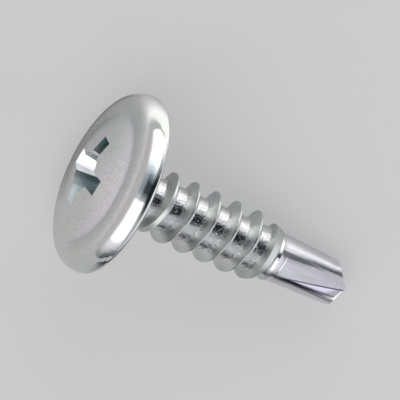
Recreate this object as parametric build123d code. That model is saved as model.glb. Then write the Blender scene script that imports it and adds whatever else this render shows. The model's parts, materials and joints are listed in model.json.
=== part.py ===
"""Self drilling screw: low round head with a cross recess, tapping thread, forged drill point.

The screw is one cold-formed piece.  It is drawn about its own axis first: z runs from the head's
bearing face to the tip, and angles turn from x towards y.  It is then laid down at rest, on the rim
of its head and on one pressed face of the drill point, with z up and the middle of its footprint at
the origin.  Lengths are in millimetres and angles in degrees.
"""

import os
from math import asin, atan2, cos, degrees, hypot, radians, sin, sqrt, tan

from build123d import *

# Whole screw
LENGTH = 15.5  # bearing face to the very tip
LEFT_HAND = True  # False turns thread, flutes and recess over together into a right-hand screw

# Head
HEAD_DIA = 10.9
HEAD_HEIGHT = 2.4
RIM_THICKNESS = 1.35
RIM_TOP_ROUND = 1.05
RIM_BOTTOM_ROUND = 0.22
CROWN_DIA = 7.6  # the domed middle, inside the flatter collar
CROWN_EDGE_HEIGHT = 1.5
CROWN_FILLET = 1.0
NECK_CONE = 0.4  # how far the neck flares out under the head, at 45 degrees

# Cross recess
RECESS_SPAN = 4.43  # across the wings, where they break through the dome
RECESS_WIDTH = 1.0
RECESS_DEPTH = 1.9  # from that level to the foot of the wings
RECESS_CORE_DIA = 2.45
RECESS_FOOT_SPAN = 2.3
RECESS_DRAFT = 5.75
RECESS_BOTTOM_ANGLE = 28.0
RECESS_TURN = 17.8

# Thread
THREAD_DIA = 4.06
ROOT_DIA = 2.82
PITCH = 1.43
THREAD_TURN = -84.2  # where the crest line would meet the bearing face
RIDGE_BASE = 0.84
RIDGE_CREST = 0.08
THREAD_START = 1.2  # where the ridge leaves the shank below the head
THREAD_FULL = 3.0
THREAD_FADE = 8.5
THREAD_END = 10.8

# Drill point
DRILL_DIA = 3.0  # across the two cutting edges
DRILL_START = 10.35
COLLAR_DIA = 2.9
COLLAR_RAMP = 0.2
LAND_THICKNESS = 2.53
PRESSED_THICKNESS = 2.14
HEEL_DIA = 2.92
HEEL_ROUND = 0.6
CUT_ANGLE = 44.0
HEEL_ANGLE = 143.0
FLUTE_START = 10.7
WEB_THICKNESS = 0.5
FLUTE_HEEL_ANGLE = 4.5  # where the flute opens through the pressed face, at the tip
POINT_ANGLE = 116.0
RELIEF_ANGLE = 43.0
RELIEF_TURN = 74.0  # from each lip to the steepest way down behind it

# Rest
REST_TURN = 186.0  # the side of the cross section that lies lowest

# Working allowances
RIM_BAND = 0.01  # straight band left between the rim's two rounds
OVERLAP = 0.12  # how far joined shapes reach into each other
REACH = 1.5  # how far cutting shapes pass the surface


def polar(radius, angle):
    """A point of a cross section, from its radius and angle."""
    return (radius * cos(radians(angle)), radius * sin(radians(angle)))


def turned(*points):
    """A turned body, from the corners of its half section as (radius, distance from the bearing face)."""
    return revolve(Plane.XZ * make_face(Polyline(*points, close=True)), axis=Axis.Z)


def crown_radius():
    """Spherical radius of the dome."""
    rise = HEAD_HEIGHT - CROWN_EDGE_HEIGHT
    return (rise**2 + (CROWN_DIA / 2) ** 2) / (2 * rise)


def crown_level(radius):
    """Where the dome lies, at a radius."""
    ball = crown_radius()
    return ball - HEAD_HEIGHT - sqrt(ball**2 - radius**2)


def rim_top_round():
    """The round over the rim, as large as the rim's thickness leaves room for."""
    return min(RIM_TOP_ROUND, RIM_THICKNESS - RIM_BOTTOM_ROUND - RIM_BAND)


def blank():
    """Head and shank, turned about the axis."""
    top = (0, -HEAD_HEIGHT)
    crown_middle = (CROWN_DIA / 4, crown_level(CROWN_DIA / 4))
    crown_edge = (CROWN_DIA / 2, -CROWN_EDGE_HEIGHT)
    rim_top = (HEAD_DIA / 2, -RIM_THICKNESS)
    rim_bottom = (HEAD_DIA / 2, 0)
    flare = (ROOT_DIA / 2 + NECK_CONE, 0)
    neck = (ROOT_DIA / 2, NECK_CONE)
    outline = Curve() + [
        ThreePointArc(top, crown_middle, crown_edge),
        Polyline(
            crown_edge,
            rim_top,
            rim_bottom,
            flare,
            neck,
            (ROOT_DIA / 2, DRILL_START),
            (0, DRILL_START),
            top,
        ),
    ]
    face = make_face(outline)
    for point, radius in (
        (crown_edge, CROWN_FILLET),
        (rim_top, rim_top_round()),
        (rim_bottom, RIM_BOTTOM_ROUND),
    ):
        face = fillet(face.vertices().sort_by_distance(point)[0], radius)
    return revolve(Plane.XZ * face, axis=Axis.Z)


def thread():
    """The ridge: one sweep along a left-hand helix, tapered away at both ends."""
    root = ROOT_DIA / 2 - OVERLAP
    crest = THREAD_DIA / 2
    spread = (RIDGE_BASE - RIDGE_CREST) / (THREAD_DIA - ROOT_DIA)
    half_base = RIDGE_BASE / 2 + OVERLAP * spread
    half_crest = RIDGE_CREST / 2
    ridge = Plane.XZ * make_face(
        Polyline(
            (root, -half_base), (crest, -half_crest), (crest, half_crest), (root, half_base), close=True
        )
    )
    helix = Helix(PITCH, THREAD_END + PITCH, crest, lefthand=True)
    swept = sweep(ridge, path=helix, is_frenet=True)
    clear = crest + OVERLAP
    envelope = turned(
        (0, THREAD_START),
        (ROOT_DIA / 2, THREAD_START),
        (clear, THREAD_FULL),
        (clear, THREAD_FADE),
        (ROOT_DIA / 2, THREAD_END),
        (0, THREAD_END),
    )
    return swept & envelope


def lip_drop(along):
    """How far a lip has fallen behind the tip, at a distance along it."""
    return along / tan(radians(POINT_ANGLE / 2))


def drill_section():
    """Cross section at the tip: two cutting corners, two lands, two rounded heels, two pressed faces."""
    cut = polar(DRILL_DIA / 2, CUT_ANGLE)
    land = polar(LAND_THICKNESS / 2, 90)
    heel = polar(HEEL_DIA / 2, HEEL_ANGLE)
    pressed = polar(PRESSED_THICKNESS / 2, 180)
    far_cut = polar(DRILL_DIA / 2, CUT_ANGLE + 180)
    half = Curve() + [ThreePointArc(cut, land, heel), Polyline(heel, pressed, far_cut)]
    face = make_face(half + Rot(0, 0, 180) * half)
    for turn in (0, 180):
        corner = polar(HEEL_DIA / 2, HEEL_ANGLE + turn)
        face = fillet(face.vertices().sort_by_distance(corner)[0], HEEL_ROUND)
    return face


def collar_section(tip_section):
    """The round section that the drill point grows out of, with a corner for each one at the tip."""
    radius = COLLAR_DIA / 2
    starts = sorted(degrees(atan2(corner.Y, corner.X)) % 360 for corner in tip_section.vertices())
    ends = starts[1:] + [starts[0] + 360]
    arcs = [
        ThreePointArc(polar(radius, start), polar(radius, (start + end) / 2), polar(radius, end))
        for start, end in zip(starts, ends)
    ]
    return make_face(Curve() + arcs)


def flute():
    """One V groove: a flat cutting face beside the cutting corner, and the wall behind it."""
    edge = Vector(*polar(DRILL_DIA / 2, CUT_ANGLE))
    lean = degrees(asin(WEB_THICKNESS / DRILL_DIA))
    web = Vector(*polar(WEB_THICKNESS / 2, CUT_ANGLE - 90 + lean))
    heel = Vector(*polar(PRESSED_THICKNESS / 2, FLUTE_HEEL_ANGLE))
    start = Vector(edge.X, edge.Y, FLUTE_START)
    foot = Vector(web.X, web.Y, LENGTH)
    along = foot - start
    beyond = REACH * DRILL_DIA
    triangle = Polyline(
        web,
        web + (edge - web).normalized() * beyond,
        web + (heel - web).normalized() * beyond,
        close=True,
    )
    face = Pos(0, 0, LENGTH) * make_face(triangle)
    face = Pos(*(along * 0.5)) * face
    return Solid.extrude(face.face(), along * -2)


def gable(turn, fall):
    """The room between two end facets that fall away from the tip, to both sides, towards an angle."""
    wide = DRILL_DIA
    eaves = LENGTH - fall * wide
    foot = DRILL_START - OVERLAP
    gable_end = Polyline((0, LENGTH), (wide, eaves), (wide, foot), (-wide, foot), (-wide, eaves), close=True)
    return Rot(0, 0, turn) * extrude(Plane.XZ * make_face(gable_end), wide, both=True)


def collar():
    """The short cone between the shank and the drill point."""
    return turned(
        (0, DRILL_START - COLLAR_RAMP),
        (ROOT_DIA / 2, DRILL_START - COLLAR_RAMP),
        (COLLAR_DIA / 2, DRILL_START),
        (0, DRILL_START),
    )


def drill():
    """The forged point: round at the collar, pressed nearly square at the tip."""
    tip_section = drill_section()
    collar_end = Pos(0, 0, DRILL_START) * collar_section(tip_section)
    bar = loft([collar_end, Pos(0, 0, LENGTH) * tip_section], ruled=True)
    lips = gable(CUT_ANGLE, lip_drop(1))
    reliefs = gable(CUT_ANGLE + RELIEF_TURN, tan(radians(RELIEF_ANGLE)))
    point = (bar & lips & reliefs) + collar()
    for turn in (0, 180):
        point -= Rot(0, 0, turn) * flute()
    return point


def recess():
    """The cross recess: four tapered wings, a round core and a conical bottom."""
    level = crown_level(RECESS_SPAN / 2)
    foot = level + RECESS_DEPTH
    rise = HEAD_HEIGHT + level + REACH
    narrow = 2 * tan(radians(RECESS_DRAFT))
    spread = (RECESS_SPAN - RECESS_FOOT_SPAN) / RECESS_DEPTH

    def wings(z):
        above = foot - z
        length = RECESS_FOOT_SPAN + spread * above
        width = RECESS_WIDTH + narrow * (level - z)
        return Pos(0, 0, z) * Rectangle(length, width)

    wing = loft([wings(foot), wings(level - rise)])
    core_top = RECESS_CORE_DIA / 2 + rise * narrow / 2
    core_foot = RECESS_CORE_DIA / 2 - RECESS_DEPTH * narrow / 2
    bottom = foot + core_foot * tan(radians(RECESS_BOTTOM_ANGLE))
    cutter = turned((0, level - rise), (core_top, level - rise), (core_foot, foot), (0, bottom))
    cutter += wing
    cutter += Rot(0, 0, 90) * wing
    return Rot(0, 0, RECESS_TURN) * cutter


def screw():
    """The whole screw about its own axis."""
    threaded = Rot(0, 0, THREAD_TURN) * (blank() + thread())
    body = threaded + drill() - recess()
    return body if LEFT_HAND else mirror(body, Plane.XZ)


def rest_slope():
    """How far the axis dips towards the tip when rim and point lie on a flat surface."""
    pressed = PRESSED_THICKNESS / 2
    growth = (COLLAR_DIA / 2 - pressed) / (LENGTH - DRILL_START)
    lean = cos(radians(REST_TURN - 180 - CUT_ANGLE))
    point_radius = pressed / (1 - growth * lip_drop(lean))
    run = LENGTH - lip_drop(lean * point_radius) + RIM_BOTTOM_ROUND
    rise = HEAD_DIA / 2 - RIM_BOTTOM_ROUND - point_radius
    return atan2(rise, run) + asin(RIM_BOTTOM_ROUND / hypot(rise, run))


def laid_down(body):
    """The screw at rest, with the middle of its footprint at the origin."""
    slope = rest_slope()
    axis = Plane((0, 0, 0), x_dir=(sin(slope), 0, cos(slope)), z_dir=(cos(slope), 0, -sin(slope)))
    lying = axis * Rot(0, 0, 180 - REST_TURN) * body
    box = lying.bounding_box()
    middle = box.center()
    return Pos(-middle.X, -middle.Y, -box.min.Z) * lying


if __name__ == "__main__":
    os.makedirs("parts", exist_ok=True)
    part = laid_down(screw())
    export_step(part, "parts/screw.step")
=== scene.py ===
"""Looks for the self drilling screw: zinc plated steel on a plain pale floor, in soft studio light."""

import json
from math import cos, pi, radians, sin

import bpy
from mathutils import Matrix, Vector

# Camera: how the screw's axis lies in the picture, and how large it is there
PICTURE_SIDE = 400  # pixels
PIXELS_PER_METRE = 17600
VIEW_TO_AXIS = radians(66.5)  # between the line of sight and the screw's axis
AXIS_TILT = radians(24.4)  # of the axis in the picture, downwards to the right
SCREW_ROLL = radians(6.0)  # how far the screw is rolled about its axis from the viewed side
BEARING_PIXEL = (119, 186)  # where the middle of the bearing face is in the picture
CAMERA_DISTANCE = 0.6
SENSOR = 36.0

# Parts of the screw's surface.  Lengths are in millimetres: levels are along the axis, from the bearing
# face towards the point, and radii are out from the axis.  A pair is a soft border, from outside to inside.
MILLIMETRES = 1000.0  # in a metre
HEAD_DIA = 10.9
HEAD_HEIGHT = 2.4
CROWN_BALL = 8.47  # radius of the dome
CREASE_RADIUS = 3.8  # where the dome meets the rim
MATT_RADIUS = (5.25, 4.7)  # the head is matt inside this radius, and bright on its rim
MATT_LEVEL = (-0.7, -1.0)  # and only on the side away from the shank
RECESS_SPAN = 4.4
RECESS_DEPTH = (0.02, 0.08)  # below the dome
RECESS_CONE = (1.25, 1.15)  # a cone that holds the recess: its radius at the bearing face
RECESS_SLOPE = 0.75  # of that cone
SHANK_START = (0.0, 0.4)
POINT_START = (10.2, 10.6)
FLANK_RADIUS = (1.46, 1.9)
CREST_RADIUS = (1.95, 2.0)
RIDGE_RADIUS = (1.43, 1.5)
RIDGE_START = (3.1, 2.7)  # before this level the thread's ridge still rises from the shank
RIDGE_END = (8.5, 8.9)  # and past this one it sinks back
FLUTE_WIDTH = (1.03, 0.99)  # from the axis, towards the viewed side or away from it
FLUTE_RADIUS = (1.34, 1.28)
MARGIN_HEIGHT = (0.92, 1.0)  # the narrow face by the web, towards the viewed side
MARGIN_WIDTH = (0.44, 0.3)
MARGIN_LEAN = (0.8, -0.59)  # its direction, as shares of the viewed side's and of downwards
EDGE_HEIGHT = (0.95, 1.0)  # the cutting edge, towards the viewed side or away from it
EDGE_LOW = (2.65, 2.7)
EDGE_HIGH = (2.85, 2.8)
EDGE_LEAN = (-0.25, 0.95)
EDGE_SLOPE = 0.19  # how fast the edge leaves the axis along the point

# Relief of the plating: patterns' sizes and heights in millimetres
GRAIN_SIZE = 0.1
DIMPLE_SIZE = 0.24
DIMPLE_STRETCH = 0.45  # their width across the screw, as a share of their length along it
DIMPLE_DEPTH = 0.005  # all over
SATIN_SIZE = 0.06
RELIEF = (
    ("top", "grain", 0.006),
    ("root", "dimples", 0.034),
    ("flank", "grain", 0.006),
    ("point", "satin", 0.003),
)

# Colours of the plating, as shares of the light that it gives back
WHITE = (1.0, 1.0, 1.0)
TINT_SIZE = 2.2
TINTS = (
    (0.35, (0.645, 0.665, 0.645)),
    (0.5, (0.665, 0.668, 0.66)),
    (0.65, (0.668, 0.66, 0.675)),
)
SPECKLES = (
    (0.3, (0.76, 0.76, 0.76)),
    (0.5, (1.0, 1.0, 1.0)),
    (0.7, (1.1, 1.1, 1.1)),
)
CREASE_PAINTED_LIGHT_AND_SHADE = (  # painted highlight on the dome's edge and painted shade in the crease, over the radius, of which 1 is twice the crease's
    (0.38, (1.0, 1.0, 1.0)),
    (0.46, (1.07, 1.06, 1.09)),
    (0.485, (1.06, 1.04, 1.1)),
    (0.52, (0.8, 0.81, 0.84)),
    (0.57, (0.9, 0.92, 0.9)),
    (0.65, (1.0, 1.0, 1.0)),
)
PAINTED_CREASE_SIDE = (-0.8, 2.0)  # the painted highlight and shade show on the viewed side only
PAINTED_HEAD_SHADE = (  # painted shade on the head, darkest at the top and slightly lighter lower down, across its width from the top down
    (0.1, (0.8, 0.82, 0.79)),
    (0.32, (0.92, 0.93, 0.92)),
    (0.5, (1.0, 1.0, 0.99)),
    (0.75, (1.04, 1.025, 0.99)),
)
PAINTED_HEAD_SHADE_LEAN = (0.6, 0.8)
# The flanks' darker colour is painted shade between the thread's turns, and the flutes' paler colour is
# painted light.
ZONE_COLORS_AND_PAINTED_LIGHT = (
    ("flank", (0.6, 0.625, 0.605)),
    ("faded", (0.52, 0.545, 0.525)),
    ("point", (0.71, 0.703, 0.728)),
    ("flute", (0.88, 0.87, 0.91)),
    ("lip", (0.2, 0.19, 0.22)),
)
RECESS_PAINTED_LIGHT_AND_SHADE = (  # painted light and shade, white to dark teal, over the recess's width, from its far side to its near one
    (0.36, (1.0, 0.99, 1.0)),
    (0.44, (0.92, 0.94, 0.96)),
    (0.51, (0.5, 0.68, 0.68)),
    (0.58, (0.14, 0.32, 0.32)),
    (0.67, (0.03, 0.1, 0.1)),
)
ROUGHNESS = 0.1
ZONE_ROUGHNESS = (
    ("top", 0.3),
    ("point", 0.11),
    ("flank", 0.17),
    ("crest", -0.05),
    ("faded", 0.12),
    ("recess", 0.22),
)

# Studio
FLOOR_SIDE = 3.0
FLOOR_COLOR = (0.59, 0.59, 0.59)
FLOOR_SHADOW = 0.5  # share of the floor's look that is lit by the studio, and so takes the shadow
BACKGROUND = (0.604, 0.604, 0.604)

# Sky: colours over the angle round the x axis, in degrees from the +y horizon to the -y horizon
SKY_STRENGTH = 1.9
END_SKY = (0.34, 0.325, 0.34)
HEAD_SIDE_SKY = (
    (0, (1.0, 1.0, 0.97)),
    (40, (1.0, 1.0, 1.0)),
    (48, (0.5, 0.54, 0.6)),
    (58, (0.26, 0.3, 0.34)),
    (66, (0.19, 0.23, 0.26)),
    (78, (0.17, 0.21, 0.23)),
    (86, (0.3, 0.33, 0.35)),
    (94, (1.0, 1.0, 1.0)),
    (140, (1.0, 1.0, 1.0)),
    (150, (0.6, 0.58, 0.62)),
    (164, (0.4, 0.4, 0.41)),
    (172, (0.2, 0.22, 0.22)),
    (180, (0.14, 0.15, 0.15)),
)
MIDDLE_SKY = (
    (0, (1.0, 1.0, 0.97)),
    (40, (1.0, 1.0, 1.0)),
    (48, (0.5, 0.54, 0.6)),
    (58, (0.16, 0.19, 0.22)),
    (65, (0.03, 0.04, 0.045)),
    (80, (0.03, 0.04, 0.045)),
    (88, (0.3, 0.33, 0.35)),
    (94, (1.0, 1.0, 1.0)),
    (140, (1.0, 1.0, 1.0)),
    (150, (0.6, 0.58, 0.62)),
    (162, (0.38, 0.38, 0.4)),
    (170, (0.1, 0.12, 0.12)),
    (180, (0.03, 0.035, 0.035)),
)
POINT_SIDE_SKY = (
    (0, (0.52, 0.52, 0.55)),
    (14, (0.52, 0.52, 0.55)),
    (27, (0.36, 0.37, 0.4)),
    (40, (0.18, 0.19, 0.21)),
    (52, (0.03, 0.037, 0.04)),
    (62, (0.006, 0.008, 0.008)),
    (90, (0.006, 0.008, 0.008)),
    (100, (0.05, 0.06, 0.06)),
    (110, (0.16, 0.18, 0.17)),
    (122, (0.29, 0.31, 0.32)),
    (150, (0.32, 0.33, 0.36)),
    (165, (0.3, 0.31, 0.32)),
    (180, (0.15, 0.17, 0.17)),
)
POINT_END_SKY = (
    (0, (0.5, 0.5, 0.53)),
    (18, (0.36, 0.36, 0.39)),
    (34, (0.03, 0.035, 0.04)),
    (57, (0.012, 0.016, 0.018)),
    (67, (0.459, 0.459, 0.501)),
    (85, (0.493, 0.493, 0.544)),
    (150, (0.493, 0.501, 0.544)),
    (180, (0.2, 0.2, 0.22)),
)
FAR_END_SKY = (0.75, 0.74, 0.79)

# Where one sky turns into the next: the cosine of a direction's angle from the x axis, and for the two
# at the point's end, from the screw's own axis
HEAD_SIDE_BORDER = (-0.28, 0.0)
POINT_SIDE_BORDER = (0.38, 0.55)
END_BORDER = (-0.72, -0.42)
POINT_END_BORDER = (0.46, 0.52)
FAR_END_BORDER = (0.62, 0.7)

# Cards on the floor beside the screw, which only the metal's reflections show, in metres.  The edges are
# how far each border is soft, and the lean is how far the x limits move for each metre of y.
CARD_LEVEL = 0.0001
CARDS = {
    "white_card": {
        "x": (-0.043, 0.017),
        "y": (0.006, 1.45),
        "lean": 0.44,
        "edge": (0.02, 0.011),
        "color": (1.0, 1.0, 0.99),
        "strength": 1.45,
    },
    "dark_card": {
        "x": (-0.006, 0.1),
        "y": (-0.06, -0.004),
        "lean": 0.0,
        "edge": (0.012, 0.012),
        "color": (0.9, 1.0, 0.97),
        "strength": 0.06,
    },
    "lilac_card": {
        "x": (-0.3, -0.03),
        "y": (-0.05, 0.05),
        "lean": 0.0,
        "edge": (0.03, 0.03),
        "color": (0.95, 0.9, 1.0),
        "strength": 1.15,
    },
    # A dim card just beside where the head's rim meets the floor: a painted contact shadow, seen only in
    # the metal's reflections.
    "contact_shadow_card": {
        "x": (-0.0102, -0.0072),
        "y": (-0.004, 0.007),
        "lean": 0.0,
        "edge": (0.0012, 0.003),
        "color": (0.95, 1.0, 0.95),
        "strength": 0.12,
    },
}


def screw_frame(record):
    """The bearing face's middle, and the screw's own three directions in the row's frame."""
    mount = next(m for m in record["mounts"] if m["name"] == "bearing_face")
    middle = Vector(mount["pos_m"])
    axis = Vector(mount["axis"]).normalized()
    up = Vector((-axis.z, 0, axis.x))
    side = Vector((0, 1, 0))
    near = up * cos(SCREW_ROLL) + side * sin(SCREW_ROLL)
    below = up * sin(SCREW_ROLL) - side * cos(SCREW_ROLL)
    return middle, axis, near, below


def add_camera(middle, axis, near, below):
    """The camera at the photograph's viewing angle."""
    look = axis * cos(VIEW_TO_AXIS) - near * sin(VIEW_TO_AXIS)
    along = (axis - look * cos(VIEW_TO_AXIS)) / sin(VIEW_TO_AXIS)
    right = along * cos(AXIS_TILT) - below * sin(AXIS_TILT)
    down = along * sin(AXIS_TILT) + below * cos(AXIS_TILT)
    half = PICTURE_SIDE / 2
    aim = middle + right * ((half - BEARING_PIXEL[0]) / PIXELS_PER_METRE)
    aim += down * ((half - BEARING_PIXEL[1]) / PIXELS_PER_METRE)
    data = bpy.data.cameras.new("camera")
    data.sensor_width = SENSOR
    data.lens = SENSOR * CAMERA_DISTANCE * PIXELS_PER_METRE / PICTURE_SIDE
    data.clip_start = 0.01
    data.clip_end = 10
    camera = bpy.data.objects.new("camera", data)
    bpy.context.collection.objects.link(camera)
    turn = Matrix((right, -down, -look)).transposed()
    camera.matrix_world = Matrix.Translation(aim - look * CAMERA_DISTANCE) @ turn.to_4x4()
    bpy.context.scene.camera = camera


class Graph:
    """A node tree, with short ways to add what the materials and the world need."""

    def __init__(self, tree):
        self.nodes = tree.nodes
        self.links = tree.links

    def add(self, kind, **settings):
        """A node with some of its settings."""
        node = self.nodes.new(kind)
        for name, value in settings.items():
            setattr(node, name, value)
        return node

    def feed(self, socket, value):
        """Links a socket to an input, or sets the input to a plain value."""
        if isinstance(value, bpy.types.NodeSocket):
            self.links.new(value, socket)
        else:
            socket.default_value = value

    def math(self, operation, *values, clamp=False):
        """A Math node."""
        node = self.add("ShaderNodeMath", operation=operation, use_clamp=clamp)
        for socket, value in zip(node.inputs, values):
            self.feed(socket, value)
        return node.outputs[0]

    def vector(self, operation, *values, output=0):
        """A Vector Math node."""
        node = self.add("ShaderNodeVectorMath", operation=operation)
        for socket, value in zip(node.inputs, values):
            self.feed(socket, value)
        return node.outputs[output]

    def scaled(self, value, factor):
        """A vector times a number."""
        node = self.add("ShaderNodeVectorMath", operation="SCALE")
        self.feed(node.inputs["Vector"], value)
        self.feed(node.inputs["Scale"], factor)
        return node.outputs[0]

    def step(self, value, low, high, start=0.0, end=1.0):
        """A smooth change from start to end while the value goes from low to high."""
        node = self.add("ShaderNodeMapRange", interpolation_type="SMOOTHSTEP")
        self.feed(node.inputs["Value"], value)
        self.feed(node.inputs["From Min"], low)
        self.feed(node.inputs["From Max"], high)
        self.feed(node.inputs["To Min"], start)
        self.feed(node.inputs["To Max"], end)
        return node.outputs[0]

    def ramp(self, value, stops):
        """A colour ramp from (position, colour) pairs."""
        node = self.add("ShaderNodeValToRGB")
        elements = node.color_ramp.elements
        elements.remove(elements[-1])
        elements[0].position = stops[0][0]
        elements[0].color = (*stops[0][1], 1)
        for position, color in stops[1:]:
            elements.new(position).color = (*color, 1)
        self.feed(node.inputs[0], value)
        return node.outputs[0]

    def mix(self, factor, first, second):
        """A blend of two colours."""
        node = self.add("ShaderNodeMix", data_type="RGBA")
        self.feed(node.inputs["Factor"], factor)
        for name, value in (("A", first), ("B", second)):
            socket = next(s for s in node.inputs if s.name == name and s.type == "RGBA")
            self.feed(socket, value)
        return next(s for s in node.outputs if s.type == "RGBA")

    def product(self, *values):
        """Some numbers multiplied."""
        result = values[0]
        for value in values[1:]:
            result = self.math("MULTIPLY", result, value)
        return result

    def noise(self, place, size, seed, detail=2.0, roughness=0.5):
        """Noise with features of about a size, in the units of the place."""
        node = self.add("ShaderNodeTexNoise", noise_dimensions="4D")
        self.feed(node.inputs["Vector"], place)
        self.feed(node.inputs["W"], seed)
        self.feed(node.inputs["Scale"], 1 / size)
        self.feed(node.inputs["Detail"], detail)
        self.feed(node.inputs["Roughness"], roughness)
        return node.outputs[0]


def degrees_ramp(graph, angle, stops):
    """A ramp over the angle round the x axis, in degrees from the +y horizon to the -y horizon."""
    share = graph.math("DIVIDE", angle, pi, clamp=True)
    return graph.ramp(share, tuple((position / 180, color) for position, color in stops))


def add_world(axis):
    """Soft light from all round, with a dark gap overhead that gives the metal its contrast."""
    world = bpy.data.worlds.new("studio")
    world.use_nodes = True
    bpy.context.scene.world = world
    graph = Graph(world.node_tree)
    graph.nodes.clear()
    place = graph.add("ShaderNodeTexCoord")
    parts = graph.add("ShaderNodeSeparateXYZ")
    graph.feed(parts.inputs[0], place.outputs["Generated"])
    angle = graph.math("ARCTAN2", parts.outputs[2], parts.outputs[1])
    along = parts.outputs[0]
    head_side = degrees_ramp(graph, angle, HEAD_SIDE_SKY)
    middle = degrees_ramp(graph, angle, MIDDLE_SKY)
    point_side = degrees_ramp(graph, angle, POINT_SIDE_SKY)
    sky = graph.mix(graph.step(along, *HEAD_SIDE_BORDER), head_side, middle)
    sky = graph.mix(graph.step(along, *POINT_SIDE_BORDER), sky, point_side)
    sky = graph.mix(graph.step(along, *END_BORDER), (*END_SKY, 1), sky)
    ahead = graph.vector("DOT_PRODUCT", place.outputs["Generated"], tuple(axis), output=1)
    point_end = degrees_ramp(graph, angle, POINT_END_SKY)
    sky = graph.mix(graph.step(ahead, *POINT_END_BORDER), sky, point_end)
    sky = graph.mix(graph.step(ahead, *FAR_END_BORDER), sky, (*FAR_END_SKY, 1))
    light = graph.add("ShaderNodeBackground")
    graph.feed(light.inputs["Strength"], SKY_STRENGTH)
    graph.feed(light.inputs["Color"], sky)
    plain = graph.add("ShaderNodeBackground")
    graph.feed(plain.inputs["Color"], (*BACKGROUND, 1))
    rays = graph.add("ShaderNodeLightPath")
    choose = graph.add("ShaderNodeMixShader")
    graph.feed(choose.inputs[0], rays.outputs["Is Camera Ray"])
    graph.feed(choose.inputs[1], light.outputs[0])
    graph.feed(choose.inputs[2], plain.outputs[0])
    output = graph.add("ShaderNodeOutputWorld")
    graph.feed(output.inputs[0], choose.outputs[0])


def add_sheet(name, x, y, level, lean=0.0):
    """A level four-sided sheet that isn't part of the object; its x limits move by lean times y."""
    mesh = bpy.data.meshes.new(name)
    corners = [(x[i] + lean * y[j], y[j], level) for i, j in ((0, 0), (1, 0), (1, 1), (0, 1))]
    mesh.from_pydata(corners, [], [(0, 1, 2, 3)])
    sheet = bpy.data.objects.new(name, mesh)
    bpy.context.collection.objects.link(sheet)
    material = bpy.data.materials.new(name)
    material.use_nodes = True
    mesh.materials.append(material)
    return sheet, Graph(material.node_tree)


def add_floor():
    """A plain pale floor under the screw, as pale as the background to the camera."""
    half = FLOOR_SIDE / 2
    sheet, graph = add_sheet("floor", (-half, half), (-half, half), 0.0)
    shader = graph.nodes["Principled BSDF"]
    shader.inputs["Base Color"].default_value = (*FLOOR_COLOR, 1)
    shader.inputs["Roughness"].default_value = 1.0
    shader.inputs["Specular IOR Level"].default_value = 0.0
    plain = graph.add("ShaderNodeEmission")
    graph.feed(plain.inputs["Color"], (*BACKGROUND, 1))
    rays = graph.add("ShaderNodeLightPath")
    share = graph.math("MULTIPLY", rays.outputs["Is Camera Ray"], 1 - FLOOR_SHADOW)
    blend = graph.add("ShaderNodeMixShader")
    graph.feed(blend.inputs[0], share)
    graph.feed(blend.inputs[1], shader.outputs[0])
    graph.feed(blend.inputs[2], plain.outputs[0])
    output = next(node for node in graph.nodes if node.type == "OUTPUT_MATERIAL")
    graph.feed(output.inputs[0], blend.outputs[0])


def add_card(name, card):
    """A soft-edged card on the floor that only reflections show."""
    sheet, graph = add_sheet(name, card["x"], card["y"], CARD_LEVEL, card["lean"])
    sheet.visible_camera = False
    sheet.visible_diffuse = False
    sheet.visible_shadow = False
    place = graph.add("ShaderNodeNewGeometry").outputs["Position"]
    parts = graph.add("ShaderNodeSeparateXYZ")
    graph.feed(parts.inputs[0], place)
    x, y = parts.outputs[0], parts.outputs[1]
    x = graph.math("SUBTRACT", x, graph.math("MULTIPLY", y, card["lean"]))
    cover = 1.0
    for value, (low, high), edge in zip((x, y), (card["x"], card["y"]), card["edge"]):
        cover = graph.math("MULTIPLY", cover, graph.step(value, low, low + edge))
        cover = graph.math("MULTIPLY", cover, graph.step(value, high, high - edge))
    glow = graph.add("ShaderNodeEmission")
    graph.feed(glow.inputs["Color"], (*card["color"], 1))
    graph.feed(glow.inputs["Strength"], card["strength"])
    clear = graph.add("ShaderNodeBsdfTransparent")
    blend = graph.add("ShaderNodeMixShader")
    graph.feed(blend.inputs[0], cover)
    graph.feed(blend.inputs[1], clear.outputs[0])
    graph.feed(blend.inputs[2], glow.outputs[0])
    output = next(node for node in graph.nodes if node.type == "OUTPUT_MATERIAL")
    graph.feed(output.inputs[0], blend.outputs[0])


class Spot:
    """Where a spot of the surface is on the screw, in millimetres, as sockets of a graph."""

    def __init__(self, graph, middle, axis, near, below):
        self.graph = graph
        self.near = near
        self.below = below
        place = graph.add("ShaderNodeTexCoord").outputs["Object"]
        place = graph.scaled(place, MILLIMETRES)
        self.place = graph.vector("SUBTRACT", place, tuple(middle * MILLIMETRES))
        self.along = self.reach(axis)
        self.toward = self.reach(near)
        self.across = graph.vector("SUBTRACT", self.place, graph.scaled(tuple(axis), self.along))
        self.radius = graph.vector("LENGTH", self.across, output=1)
        shrunk = graph.math("MULTIPLY", self.along, DIMPLE_STRETCH)
        self.stretched = graph.vector("ADD", self.across, graph.scaled(tuple(axis), shrunk))

    def reach(self, direction):
        """How far the spot lies in a direction."""
        return self.graph.vector("DOT_PRODUCT", self.place, tuple(direction), output=1)

    def leaning(self, shares):
        """How far the spot lies in a direction, given as shares of the viewed side's and of downwards."""
        return self.reach(self.near * shares[0] + self.below * shares[1])


def head_zones(graph, spot):
    """The head's matt top and its recess."""
    rise = graph.math("DIVIDE", graph.math("POWER", spot.radius, 2.0), 2 * CROWN_BALL)
    dome = graph.math("ADD", -HEAD_HEIGHT, rise)
    depth = graph.math("SUBTRACT", spot.along, dome)
    inward = graph.math("ADD", spot.radius, graph.math("MULTIPLY", spot.along, RECESS_SLOPE))
    recess = graph.product(graph.step(depth, *RECESS_DEPTH), graph.step(inward, *RECESS_CONE))
    top = graph.product(graph.step(spot.radius, *MATT_RADIUS), graph.step(spot.along, *MATT_LEVEL))
    top = graph.math("SUBTRACT", top, recess, clamp=True)
    return {"top": top, "recess": recess}


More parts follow.
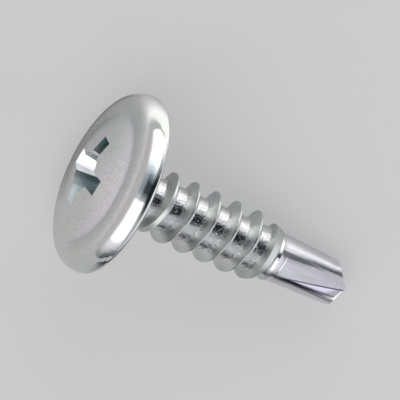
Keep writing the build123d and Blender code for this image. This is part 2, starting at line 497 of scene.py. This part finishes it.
def shank_zones(graph, spot):
    """The thread's flanks and crest, the plain root between them, and the thread's two faded ends."""
    start = graph.step(spot.along, *SHANK_START)
    end = graph.step(spot.along, *reversed(POINT_START))
    shank = graph.product(start, end)
    flank = graph.product(shank, graph.step(spot.radius, *FLANK_RADIUS))
    ends = graph.math(
        "MAXIMUM",
        graph.step(spot.along, *RIDGE_START),
        graph.step(spot.along, *RIDGE_END),
    )
    return {
        "flank": flank,
        "crest": graph.product(shank, graph.step(spot.radius, *CREST_RADIUS)),
        "root": graph.math("SUBTRACT", shank, flank, clamp=True),
        "faded": graph.product(ends, shank, graph.step(spot.radius, *RIDGE_RADIUS)),
    }


def point_zones(graph, spot):
    """The drill point, the inside of its flutes, and the dark line along its lips."""
    point = graph.step(spot.along, *POINT_START)
    height = graph.math("ABSOLUTE", spot.toward)
    within = graph.step(spot.radius, *FLUTE_RADIUS)
    flute = graph.product(point, graph.step(height, *FLUTE_WIDTH), within)
    margin = graph.product(
        point,
        graph.step(spot.toward, *MARGIN_HEIGHT),
        graph.step(spot.leaning(MARGIN_LEAN), *MARGIN_WIDTH),
    )
    slant = graph.product(spot.leaning(EDGE_LEAN), graph.math("SIGN", spot.toward))
    slant = graph.math("ADD", slant, graph.math("MULTIPLY", spot.along, EDGE_SLOPE))
    edge = graph.product(
        point,
        graph.step(slant, *EDGE_LOW),
        graph.step(slant, *EDGE_HIGH),
        graph.step(height, *EDGE_HEIGHT),
    )
    return {"point": point, "flute": flute, "lip": graph.math("MAXIMUM", margin, edge)}


def surface_patterns(graph, spot):
    """The patterns in the plating's relief."""
    return {
        "grain": graph.noise(spot.place, GRAIN_SIZE, 1.0, detail=3.0, roughness=0.6),
        "dimples": graph.noise(spot.stretched, DIMPLE_SIZE, 2.0, detail=3.0, roughness=0.6),
        "satin": graph.noise(spot.place, SATIN_SIZE, 3.0),
    }


def relief(graph, zones, patterns):
    """The normal of the plating's fine relief."""
    height = graph.math("MULTIPLY", patterns["dimples"], DIMPLE_DEPTH)
    for zone, pattern, depth in RELIEF:
        height = graph.math("ADD", height, graph.product(zones[zone], patterns[pattern], depth))
    bump = graph.add("ShaderNodeBump")
    graph.feed(bump.inputs["Height"], height)
    graph.feed(bump.inputs["Distance"], 1 / MILLIMETRES)
    return bump.outputs[0]


def tinted(graph, color, where, tint):
    """A colour multiplied by a tint, where a zone is."""
    return graph.vector("MULTIPLY", color, graph.mix(where, (*WHITE, 1), tint))


def head_color(graph, spot, zones, patterns, color):
    """The head's speckle, the painted highlight and shade at the crease round its dome, and painted shade
    darkest at its top.
    """
    color = tinted(graph, color, zones["top"], graph.ramp(patterns["grain"], SPECKLES))
    # painted highlight and shade round the dome's crease, on the viewed side only
    painted_crease = graph.ramp(graph.math("DIVIDE", spot.radius, CREASE_RADIUS * 2), CREASE_PAINTED_LIGHT_AND_SHADE)
    near_side = graph.product(zones["top"], graph.step(spot.toward, *PAINTED_CREASE_SIDE))
    color = tinted(graph, color, near_side, painted_crease)
    # painted shade across the head, darkest at its top
    share = graph.math("DIVIDE", spot.leaning(PAINTED_HEAD_SHADE_LEAN), HEAD_DIA)
    painted_head_shade = graph.ramp(graph.math("ADD", share, 0.5), PAINTED_HEAD_SHADE)
    return tinted(graph, color, zones["top"], painted_head_shade)


def plating_color(graph, spot, zones, patterns):
    """The plating's colour all over, with painted light and shade on the head, the flanks, the flutes and
    the recess.
    """
    color = graph.ramp(graph.noise(spot.place, TINT_SIZE, 4.0), TINTS)
    color = head_color(graph, spot, zones, patterns, color)
    # the flanks' colour is painted shade and the flutes' colour is painted light
    for zone, paint in ZONE_COLORS_AND_PAINTED_LIGHT:
        color = graph.mix(zones[zone], color, (*paint, 1))
    # painted light and shade across the recess, white on the far side to dark teal on the near side
    share = graph.math("DIVIDE", spot.toward, RECESS_SPAN)
    recess = graph.ramp(graph.math("ADD", share, 0.5), RECESS_PAINTED_LIGHT_AND_SHADE)
    return graph.mix(zones["recess"], color, recess)


def plating_roughness(graph, zones):
    """The plating's roughness all over."""
    rough = ROUGHNESS
    for zone, more in ZONE_ROUGHNESS:
        rough = graph.math("ADD", rough, graph.math("MULTIPLY", zones[zone], more))
    return rough


def zinc(middle, axis, near, below):
    """Zinc plate: matt and grained on the head, bright and dimpled on the shank, satin on the point."""
    material = bpy.data.materials.new("zinc_plate")
    material.use_nodes = True
    graph = Graph(material.node_tree)
    spot = Spot(graph, middle, axis, near, below)
    zones = head_zones(graph, spot) | shank_zones(graph, spot) | point_zones(graph, spot)
    patterns = surface_patterns(graph, spot)
    shader = graph.nodes["Principled BSDF"]
    graph.feed(shader.inputs["Base Color"], plating_color(graph, spot, zones, patterns))
    graph.feed(shader.inputs["Metallic"], 1.0)
    graph.feed(shader.inputs["Roughness"], plating_roughness(graph, zones))
    graph.feed(shader.inputs["Normal"], relief(graph, zones, patterns))
    return material


bpy.context.scene.view_settings.view_transform = "Standard"
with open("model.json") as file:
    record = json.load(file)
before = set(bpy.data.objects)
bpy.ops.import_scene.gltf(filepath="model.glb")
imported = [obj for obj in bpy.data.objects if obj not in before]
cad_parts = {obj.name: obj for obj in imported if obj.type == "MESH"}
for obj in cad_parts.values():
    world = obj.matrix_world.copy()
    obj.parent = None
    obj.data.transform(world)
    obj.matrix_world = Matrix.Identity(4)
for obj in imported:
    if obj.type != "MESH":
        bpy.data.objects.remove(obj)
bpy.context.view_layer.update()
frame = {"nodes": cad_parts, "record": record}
middle, axis, near, below = screw_frame(frame["record"])
add_camera(middle, axis, near, below)
add_world(axis)
add_floor()
for name, card in CARDS.items():
    add_card(name, card)
screw = frame["nodes"]["screw"]
screw.data.materials[0] = zinc(middle, axis, near, below)
